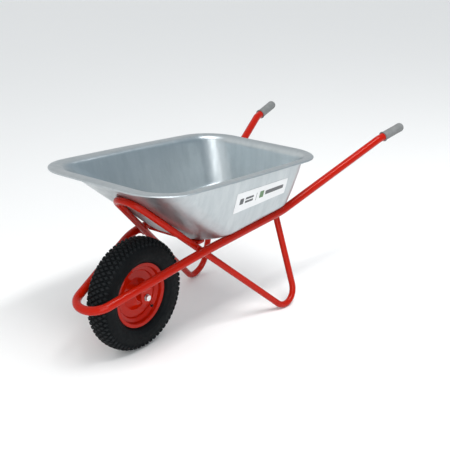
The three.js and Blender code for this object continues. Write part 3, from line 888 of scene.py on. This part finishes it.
def label():
    """A plain white film with generic bars."""
    panel("label_film", 0, 1, 0, 1, **FILM, nodes=("side_label",))
    bars = [(0.08, 0.15, 0.36, 0.66, INK), (0.18, 0.33, 0.54, 0.66, INK), (0.18, 0.33, 0.36, 0.48, INK),
            (0.385, 0.392, 0.30, 0.72, INK), (0.45, 0.53, 0.34, 0.72, INK_GREEN),
            (0.56, 0.93, 0.42, 0.66, INK)]
    for i, (u0, u1, v0, v1, ink) in enumerate(bars):
        radius = 1.5 if u1 - u0 > NARROW else 0.4
        panel(f"label_bar_{i + 1}", u0, u1, v0, v1, **BAR, radius=radius, material=ink)


# ---- bolts

BOLT_RADIUS = 3
BOLT_HEAD_RADIUS = 8
BOLT_HEAD_HEIGHT = 3.4
BOLT_PITCH = 1
BOLT_REACH = 12  # length of a tray bolt beyond its strap's thickness and the play
WASHER_HEIGHT = 1.2
NUT_ACROSS = 10
NUT_HEIGHT = 5
NUT_BORE = 3.1
HOOP_HEAD_SEAT = 14.2  # from the hoop tube's axis to the tray's inside
HOOP_BOLT_LENGTH = 18
SMALL_SEGMENTS = 40


def zinc(name, profile, place, node, segments=SMALL_SEGMENTS):
    turned(name, profile, place, "zinc_fasteners", "frame", node, segments=segments)


def mushroom_bolt(length):
    """The profile of a round-headed bolt along +Z, whose head bears at z = 0."""
    dome = [(BOLT_HEAD_HEIGHT * math.sin(a), BOLT_HEAD_RADIUS * math.cos(a))
            for a in (math.radians(d) for d in range(12, 85, 9))]
    screw = thread(BOLT_RADIUS, BOLT_PITCH, -length + 1, length * 0.62)
    tip = [(-length, CORE), (-length, BOLT_RADIUS - 0.8)]
    seat = [(0, BOLT_RADIUS), (0, BOLT_HEAD_RADIUS - 0.2)]
    return [*tip, *screw, *seat, *dome, (BOLT_HEAD_HEIGHT, CORE)]


def tray_bolts():
    """Four bolts down through the floor and the straps, each with a washer and a nut below."""
    deck = deck_matrix()
    number = 0
    for y, thickness in BOLT_ROWS:
        for x in (BOLT_X, -BOLT_X):
            number += 1
            under = -GAP - thickness
            washer = under - GAP - WASHER_HEIGHT
            nut = washer - GAP - NUT_HEIGHT
            spot = deck @ Matrix.Translation((x, y, 0))
            inside = spot @ Matrix.Translation((0, 0, SHEET + GAP))
            zinc(f"mushroom_bolt_{number}", mushroom_bolt(BOLT_REACH - under), inside, f"tray_bolt_{number}")
            plate = ring(washer, washer + WASHER_HEIGHT, 3.3, 8, 0.2)
            zinc(f"flat_washer_{number}", plate, spot, f"tray_washer_{number}")
            hexagon(f"hex_nut_{number}", NUT_ACROSS, nut, nut + NUT_HEIGHT, NUT_BORE, spot,
                    f"tray_nut_{number}")


def hoop_bolt():
    """The bolt through the tray's front wall, square to it, and the insert in the hoop tube."""
    slope = math.atan2(RIM_FRONT_Z - FRONT_BEND[2], WALL_FOOT["front"] - WALL_TOP["front"])
    square = Matrix.Rotation(STEEPER - slope, 4, "X")
    spot = Matrix.Translation(at(0, HOOP[1], HOOP[2])) @ square @ Matrix.Scale(MM, 4)
    inside = spot @ Matrix.Translation((0, 0, HOOP_HEAD_SEAT))
    zinc("hoop_mushroom_bolt", mushroom_bolt(HOOP_BOLT_LENGTH), inside, "hoop_bolt")
    top = LEG_TUBE - 1.2
    insert = [(2, NUT_BORE), (2, 4.2), (2.3, 4.5), (top, 4.5), (top, NUT_BORE)]
    zinc("threaded_insert", insert, spot, "hoop_insert")


# ---- wheel

KNOB_ROWS = 62  # rows of blocks round the tyre
KNOB_STEPS = 10  # mesh steps for each row
KNOB_WIDTH = 27.0
KNOB_HEIGHT = 5.0
GROOVE = 0.21  # half the groove between blocks, as a share of a row
TREAD_HALF = 65.0  # from the tread's middle to its edge, along the surface
CARCASS_STEP = 2.0
# Sections in (x, radius): the outside from the middle of the tread to the rim, and the inside back again.
CARCASS = [(0, 195.0), (9, 194.7), (18, 193.4), (26, 190.7), (33, 186.0), (38.9, 179.0), (42.5, 170.8),
           (44.7, 161), (46, 151), (45.4, 140), (42.8, 130), (38, 122.6), (33, 118.8), (28.6, 116.6),
           (27.2, 115.6)]
LINING = [(25.9, 111), (25.4, 104.2), (17, 103.8), (20, 112), (33, 125), (40.5, 148), (38, 170), (27, 185),
          (12, 190.3)]
SIDE_RINGS = ((88, 1.9, 0.7), (104, 2.2, 0.9))  # place from the tread's middle, half width, height


def spline(points, spacing):
    """A smooth line through (x, radius) points, cut at an even spacing."""
    p = [Vector(v) for v in points]
    p = [p[0] * 2 - p[1], *p, p[-1] * 2 - p[-2]]
    fine = []
    for a, b, c, d in zip(p, p[1:], p[2:], p[3:]):
        for k in range(20):
            t = k / 20
            fine.append(0.5 * (2 * b + (c - a) * t + (2 * a - 5 * b + 4 * c - d) * t * t
                               + (3 * b - a - 3 * c + d) * t**3))
    fine.append(p[-2])
    length = [0.0]
    for a, b in zip(fine, fine[1:]):
        length.append(length[-1] + (b - a).length)
    cuts = round(length[-1] / spacing)
    line, j = [], 0
    for k in range(cuts + 1):
        want = length[-1] * k / cuts
        while j < len(length) - 2 and length[j + 1] < want:
            j += 1
        t = (want - length[j]) / max(length[j + 1] - length[j], 1e-9)
        line.append((lerp(fine[j], fine[j + 1], min(t, 1)), want))
    return line


def knob_height(turn, s):
    """Tread relief: small lozenge blocks in offset rows, parted by two sets of slanting grooves."""
    a = turn + s / KNOB_WIDTH
    b = turn - s / KNOB_WIDTH
    column = math.floor(a) - math.floor(b)
    if abs(column) * KNOB_WIDTH / 2 > TREAD_HALF - KNOB_WIDTH / 2 + 1:
        return 0.0
    fa = a - math.floor(a)
    fb = b - math.floor(b)
    edge = min(fa, 1 - fa, fb, 1 - fb)
    fade = 1 - 0.3 * smooth_step(36, TREAD_HALF, abs(s))
    return KNOB_HEIGHT * fade * smooth_step(GROOVE * 0.6, GROOVE, edge)


def side_ring(s, middle, half, height):
    """Height of a raised ring on the sidewall."""
    return height * smooth_step(0, 1, 1 - abs(s - middle) / half)


def tyre():
    """Carcass with tread blocks, sidewall rings and a closed inside."""
    half = spline(CARCASS, CARCASS_STEP)
    around = KNOB_ROWS * KNOB_STEPS
    outside = [(Vector((-p.x, p.y)), -s) for p, s in reversed(half[1:])] + half
    line = [p for p, _ in outside]
    rows = len(outside)
    profile = []
    for i, (p, s) in enumerate(outside):
        d = (line[min(i + 1, rows - 1)] - line[max(i - 1, 0)]).normalized()
        profile.append((p, s, Vector((-d.y, d.x))))
    points, painted_block_highlight = [], []
    inside = [Vector(v) for v in LINING] + [Vector((-x, r)) for x, r in reversed(LINING)]
    for k in range(around):
        turn = k / KNOB_STEPS
        angle = 2 * math.pi * k / around
        radial = Vector((0, math.cos(angle), math.sin(angle)))
        row = []
        for p, s, normal in profile:
            lift = knob_height(turn, s)
            # share of the block's height, which drives the painted highlight on the block tops
            painted_block_highlight.append(lift / KNOB_HEIGHT)
            lift += sum(side_ring(abs(s), *shape) for shape in SIDE_RINGS)
            row.append(p + normal * lift)
        painted_block_highlight += [0.0] * len(inside)
        points += [AXLE + (Vector((q.x, 0, 0)) + radial * q.y) * MM for q in row + inside]
    faces = turned_faces(around, rows + len(inside))
    made = piece("treaded_tyre", points, faces, "tyre_rubber", "wheel", "tyre", sharp=50)
    # the attribute that paints the highlight on the tops of the blocks
    made.data.attributes.new("painted_block_highlight", "FLOAT", "POINT").data.foreach_set("value", painted_block_highlight)


# A rim half's section in (x, radius), from the flange down to the hub, and its bends.
RIM_SECTION = [(28.2, 114.6), (28, 104.5), (25.6, 102.8), (13.5, 101), (9.6, 86.6), (2.2, 85.6),
               (2.2, 57), (19, 34), (24, 20.4)]
RIM_BENDS = [1.8, 2.2, 4, 4, 5, 9, 9]
RIM_WALL = 1.6
RIM_EDGE = (28.4, 114.0)
RIM_EDGE_RADIUS = 1.0
HUB_WELD_X = 23.6
HUB_WELD_RADIUS = 21
WHEEL_SEGMENTS = 120


def rim_half(side, sign):
    """One pressed half of the rim: rolled flange, bead seat, drop centre and dished disc."""
    profile = sheet_profile(rounded(RIM_SECTION, RIM_BENDS), RIM_WALL)
    place = placed(AXLE, Vector((sign, 0, 0)))
    turned(f"pressed_rim_{side}", profile, place, RED, "wheel", f"rim_half_{side}",
           segments=WHEEL_SEGMENTS)
    edge = [(RIM_EDGE[0] + RIM_EDGE_RADIUS * math.cos(a), RIM_EDGE[1] + RIM_EDGE_RADIUS * math.sin(a))
            for a in (math.pi * k / 6 for k in range(12))]
    turned(f"rim_edge_{side}", edge, place, RED, "wheel", segments=WHEEL_SEGMENTS)
    centre = AXLE + Vector((sign * HUB_WELD_X * MM, 0, 0))
    weld_bead(f"hub_weld_{side}", circle_line(centre, Vector((1, 0, 0)), HUB_WELD_RADIUS, 48), 2.2, "wheel")


# Profiles of the hub and its bearings in (x, radius). The bearings' are for the left side.
HUB = [(-46, 18.2), (-45.4, 19.6), (-44.8, 20), (44.8, 20), (45.4, 19.6), (46, 18.2),
       (45.2, 17.8), (-45.2, 17.8)]
BEARING_SHELL = [(34, 14.8), (34, 17.5), (44.4, 17.5), (45, 16.9), (45, 15.2), (44.6, 14.8)]
BEARING_SEAL = [(43.2, 10.8), (43.2, 14.9), (44.2, 14.9), (44.3, 13.6), (43.9, 12.6), (44.3, 11.6),
                (44.2, 10.8)]


def hub():
    place = placed(AXLE, Vector((1, 0, 0)))
    turned("machined_hub", HUB, place, RED, "wheel", "hub_tube")
    for side, sign in SIDES:
        place = placed(AXLE, Vector((sign, 0, 0)))
        turned(f"bearing_shell_{side}", BEARING_SHELL, place, "bare_steel", "wheel",
               f"bearing_outer_ring_{side}")
        turned(f"bearing_seal_{side}", BEARING_SEAL, place, "tube_rubber", "wheel")


VALVE_TURN = -48  # degrees round the wheel
VALVE_ROOT = (9.8, 93, 0)  # x and radius where the stem leaves the rim's well
VALVE_LEAN = -127  # degrees from straight out of the wheel
VALVE_SEGMENTS = 32
VALVE_STEM = [(0, CORE), (0, 3), (12, 3), (12.4, 2.6), (20, 2.6), (20.6, 2.2), (22, 2.2), (22, CORE)]


def degrees(angle, axis):
    return Matrix.Rotation(math.radians(angle), 4, axis)


def valve():
    """The valve stem and its ribbed cap."""
    root = Matrix.Translation(AXLE) @ Matrix.Scale(MM, 4) @ degrees(VALVE_TURN, "X")
    place = root @ Matrix.Translation(VALVE_ROOT) @ degrees(VALVE_LEAN, "Z") @ degrees(-90, "X")
    turned("rubber_valve_stem", VALVE_STEM, place, "bare_steel", "wheel", "valve_stem",
           segments=VALVE_SEGMENTS)
    ribs = []
    for k in range(5):
        ribs += [(14.6 + k * 1.8, 4.3), (15.5 + k * 1.8, 3.9)]
    top = [(24.2, 3.9), (25, 3.0), (25, CORE), (22.6, CORE), (22.6, 3.2)]
    turned("valve_dust_cap", [(14, 3.2), (14, 4.0), *ribs, *top], place, "tube_rubber", "wheel",
           "valve_cap", segments=VALVE_SEGMENTS)


# ---- axle

AXLE_RADIUS = 6
AXLE_PITCH = 1.5
AXLE_TAIL = 15  # from the nut's seat to the end of the thread
AXLE_HEAD_ACROSS = 19
AXLE_HEAD_HEIGHT = 7.5
AXLE_NUT_HEIGHT = 11
AXLE_SEAT = 2.6  # from the bracket's outer face to the head, or to the nut
AXLE_WASHER = ring(56.3, 58.3, 6.3, 12, 0.4)
COLLAR = ring(45.3, 51.7, 6.3, 11, 0.4)


def axle():
    """The axle bolt with its head on the left, its nut, and the washers and collars on it."""
    place = placed(AXLE, Vector((1, 0, 0)))
    end = BRACKET_X + BRACKET_PLATE + AXLE_SEAT
    radius = AXLE_RADIUS
    screw = thread(radius, AXLE_PITCH, -end - AXLE_TAIL + 1, 13)
    tail = [(-end - AXLE_TAIL, CORE), (-end - AXLE_TAIL, radius - 1.1)]
    shank = [(-end, radius), (end + 1, radius), (end + 1, CORE)]
    zinc("threaded_axle", [*tail, *screw, *shank], place, "axle_bolt", segments=48)
    hexagon("axle_bolt_head", AXLE_HEAD_ACROSS, end, end + AXLE_HEAD_HEIGHT, 0, place)
    hexagon("axle_hex_nut", AXLE_HEAD_ACROSS, -end - AXLE_NUT_HEIGHT, -end, radius - 0.6, place, "axle_nut")
    for side, sign in SIDES:
        place = placed(AXLE, Vector((sign, 0, 0)))
        turned(f"plain_washer_{side}", AXLE_WASHER, place, "bare_steel", "frame", f"axle_washer_{side}")
        turned(f"distance_collar_{side}", COLLAR, place, "bare_steel", "frame", f"axle_spacer_{side}")


# ---- build


def carried_over():
    """CAD nodes that stay get their record slot's material."""
    for entry in frame["record"]["subparts"]:
        node = frame["nodes"][entry["node"]]
        for holder in node.material_slots:
            holder.link = "OBJECT"
            holder.material = MATERIALS[entry["material_slot"]]


def build():
    carried_over()
    frame_tubes()
    for side, sign in SIDES:
        grip(side, sign)
        axle_bracket(side, sign)
        strut_stub(side, sign)
        leg_weld(side, sign)
        rim_half(side, sign)
    cross_strap("flat_bar_front", "front_cross_strap", **FRONT_STRAP)
    cross_strap("flat_bar_rear", "rear_cross_strap", **REAR_STRAP)
    tray()
    label()
    tray_bolts()
    hoop_bolt()
    tyre()
    hub()
    valve()
    axle()


# ---- studio

CAMERA_PLACE = (2.0866, -2.5245, 1.5589)
CAMERA_TURN = (39.56, 21.02, -0.897)  # degrees: round the vertical, down, and about the view
CAMERA_ANGLE = 27.12  # degrees across the picture


def camera():
    data = bpy.data.cameras.new("camera")
    made = added("camera", data)
    yaw, pitch, roll = (math.radians(v) for v in CAMERA_TURN)
    turn = (Matrix.Rotation(yaw, 4, "Z") @ Matrix.Rotation(math.pi / 2 - pitch, 4, "X")
            @ Matrix.Rotation(roll, 4, "Z"))
    made.matrix_world = Matrix.Translation(CAMERA_PLACE) @ turn
    data.angle = math.radians(CAMERA_ANGLE)
    data.clip_end = 100
    bpy.context.scene.camera = made


def soft_light(name, place, target, width, height, power):
    """A rectangular panel that faces a target. Its size is in metres and its power in watts."""
    data = bpy.data.lights.new(name, "AREA")
    data.shape = "RECTANGLE"
    data.size = width
    data.size_y = height
    data.energy = power
    made = added(name, data)
    made.location = place
    made.rotation_euler = (Vector(target) - Vector(place)).to_track_quat("-Z", "Y").to_euler()


DARK_SIDE = (0.80, 0.58, 0.0)
FLOOR_HALF = 30


def studio_world():
    """A pale room, with a darker, bluer side toward +X and +Y."""
    world = bpy.data.worlds.new("studio")
    world.use_nodes = True
    tree = world.node_tree
    direction = tree.nodes.new("ShaderNodeTexCoord")
    toward = tree.nodes.new("ShaderNodeVectorMath")
    toward.operation = "DOT_PRODUCT"
    toward.inputs[1].default_value = Vector(DARK_SIDE).normalized()
    tree.links.new(direction.outputs["Generated"], toward.inputs[0])
    share = tree.nodes.new("ShaderNodeMapRange")
    share.inputs["From Min"].default_value = -1.0
    tree.links.new(toward.outputs["Value"], share.inputs["Value"])
    ramp = tree.nodes.new("ShaderNodeValToRGB")
    ramp.color_ramp.interpolation = "EASE"
    stops = ramp.color_ramp.elements
    stops[0].position = 0.0
    stops[0].color = (1.05, 1.05, 1.05, 1)
    stops[1].position = 0.9
    stops[1].color = (0.36, 0.44, 0.50, 1)
    middle = stops.new(0.45)
    middle.color = (0.66, 0.67, 0.68, 1)
    tree.links.new(share.outputs["Result"], ramp.inputs["Fac"])
    tree.links.new(ramp.outputs["Color"], tree.nodes["Background"].inputs["Color"])
    return world


def studio():
    mesh = bpy.data.meshes.new("floor")
    corners = [(x * FLOOR_HALF, y * FLOOR_HALF, 0) for x, y in ((-1, -1), (1, -1), (1, 1), (-1, 1))]
    mesh.from_pydata(corners, [], [(0, 1, 2, 3)])
    floor = added("floor", mesh)
    look = Look("pale_floor", (0.9, 0.895, 0.885), 0.7)
    look.rough(look.remap(look.noise(3, 3), 0.3, 0.7, 0.65, 0.75))
    mesh.materials.append(look.material)
    bpy.context.scene.world = studio_world()
    soft_light("front", (2.8, -2.3, 1.3), (0, 0.1, 0.45), width=2.2, height=2.6, power=50)
    soft_light("overhead", (1.38, 0.05, 3.4), (0.2, 0.0, 0.35), width=3.0, height=0.5, power=76)
    sun = bpy.data.lights.new("sky_panel", "SUN")
    sun.energy = 0.5
    sun.angle = math.radians(40)
    above = added("sky_panel", sun)
    above.rotation_euler = (math.radians(14), math.radians(16), 0)
    bpy.context.scene.view_settings.view_transform = "Standard"


camera()
build()
studio()
